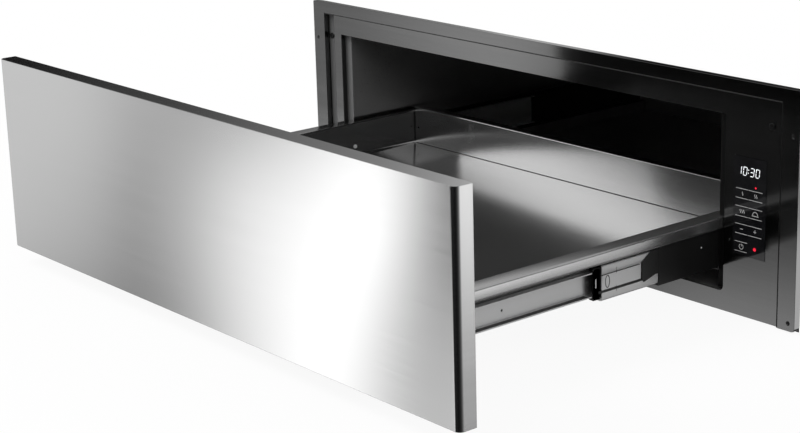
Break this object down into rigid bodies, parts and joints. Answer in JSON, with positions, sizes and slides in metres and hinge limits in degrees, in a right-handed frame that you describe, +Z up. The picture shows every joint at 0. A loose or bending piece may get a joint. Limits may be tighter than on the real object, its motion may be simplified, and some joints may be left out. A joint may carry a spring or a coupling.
{
  "type": "built in warming drawer",
  "caption": "Built in warming drawer for a 30 inch cabinet, with a handleless push-to-open front, telescopic slides and a side control strip.",
  "frame": {"origin": "centre of the casing's base, on its underside", "axes": "+X to the right seen from the front, +Y into the cabinet, +Z up"},
  "size_m": [0.7556, 1.0094, 0.2409],
  "materials": {
    "brushed_steel": "fine vertical brush lines",
    "dark_mirror": "dark polished",
    "zinc": "bright zinc plated",
    "galvanised": "galvanised, dull",
    "cavity_steel": "satin dark enamel",
    "black_plastic": "fine grained moulding",
    "silicone": "matte silicone",
    "display_glass": "glossy black glass",
    "circuit_board": "satin solder mask",
    "wool": "mineral wool",
    "fibre_core": "pressed fibre",
    "heater_sheath": "heat darkened"
  },
  "bodies": {
    "housing": {"trim_frame": "dark_mirror", "fascia_plate": "dark_mirror", "front_frame": "galvanised", "fascia_screw_left": "zinc", "fascia_screw_right": "zinc", "opening_seal_left": "silicone", "opening_seal_right": "silicone", "base_pan": "galvanised", "casing_left": "galvanised", "casing_right": "galvanised", "casing_back": "galvanised", "casing_top": "galvanised", "cavity_left": "cavity_steel", "cavity_right": "cavity_steel", "cavity_top": "cavity_steel", "cavity_floor": "cavity_steel", "cavity_back": "cavity_steel", "temperature_sensor": "zinc", "thermal_cutout": "black_plastic", "insulation_left": "wool", "insulation_right": "wool", "insulation_top": "wool", "insulation_back": "wool", "insulation_floor": "wool", "heating_element": "heater_sheath", "element_strap_left": "zinc", "element_strap_right": "zinc", "display_glass": "display_glass", "control_housing": "black_plastic", "control_board": "circuit_board", "electronics_divider": "galvanised", "power_board": "circuit_board", "board_carrier": "black_plastic", "junction_box": "galvanised", "cable_gland": "black_plastic", "wiring_harness": "silicone", "latch_body": "black_plastic", "outer_rail_left": "zinc", "outer_rail_right": "zinc", "rail_bracket_left": "galvanised", "rail_bracket_right": "galvanised"},
    "drawer": {"drawer_pan": "brushed_steel", "front_skin": "brushed_steel", "front_inner_panel": "galvanised", "front_core": "fibre_core", "front_angle": "galvanised", "front_screw_left": "zinc", "front_screw_right": "zinc", "drawer_striker": "zinc", "inner_rail_left": "zinc", "inner_rail_right": "zinc"},
    "left_middle": {"middle_rail_left": "zinc"},
    "right_middle": {"middle_rail_right": "zinc"},
    "left_outer_cage": {"outer_cage_left": "black_plastic"},
    "right_outer_cage": {"outer_cage_right": "black_plastic"},
    "left_inner_cage": {"inner_cage_left": "black_plastic"},
    "right_inner_cage": {"inner_cage_right": "black_plastic"},
    "plunger": {"latch_plunger": "zinc"}
  },
  "joints": [
    {"name": "drawer_slide", "type": "slide", "parent": "housing", "child": "drawer", "axis": [0, -1, 0], "range_m": [-0.408, 0]},
    {"name": "left_middle_slide", "type": "slide", "parent": "housing", "child": "left_middle", "axis": [0, -1, 0], "range_m": [-0.2041, 0]},
    {"name": "right_middle_slide", "type": "slide", "parent": "housing", "child": "right_middle", "axis": [0, -1, 0], "range_m": [-0.2041, 0]},
    {"name": "left_outer_cage_slide", "type": "slide", "parent": "housing", "child": "left_outer_cage", "axis": [0, -1, 0], "range_m": [-0.1021, 0]},
    {"name": "right_outer_cage_slide", "type": "slide", "parent": "housing", "child": "right_outer_cage", "axis": [0, -1, 0], "range_m": [-0.1021, 0]},
    {"name": "left_inner_cage_slide", "type": "slide", "parent": "housing", "child": "left_inner_cage", "axis": [0, -1, 0], "range_m": [-0.3061, 0]},
    {"name": "right_inner_cage_slide", "type": "slide", "parent": "housing", "child": "right_inner_cage", "axis": [0, -1, 0], "range_m": [-0.3061, 0]},
    {"name": "latch_press", "type": "slide", "parent": "housing", "child": "plunger", "axis": [0, 1, 0], "range_m": [0, 0.008], "stiffness_N_per_m": 800}
  ],
  "couplings": [
    {"joint": "left_middle_slide", "follows": "drawer_slide", "ratio": 0.5},
    {"joint": "right_middle_slide", "follows": "drawer_slide", "ratio": 0.5},
    {"joint": "left_outer_cage_slide", "follows": "drawer_slide", "ratio": 0.25},
    {"joint": "right_outer_cage_slide", "follows": "drawer_slide", "ratio": 0.25},
    {"joint": "left_inner_cage_slide", "follows": "drawer_slide", "ratio": 0.75},
    {"joint": "right_inner_cage_slide", "follows": "drawer_slide", "ratio": 0.75}
  ]
}
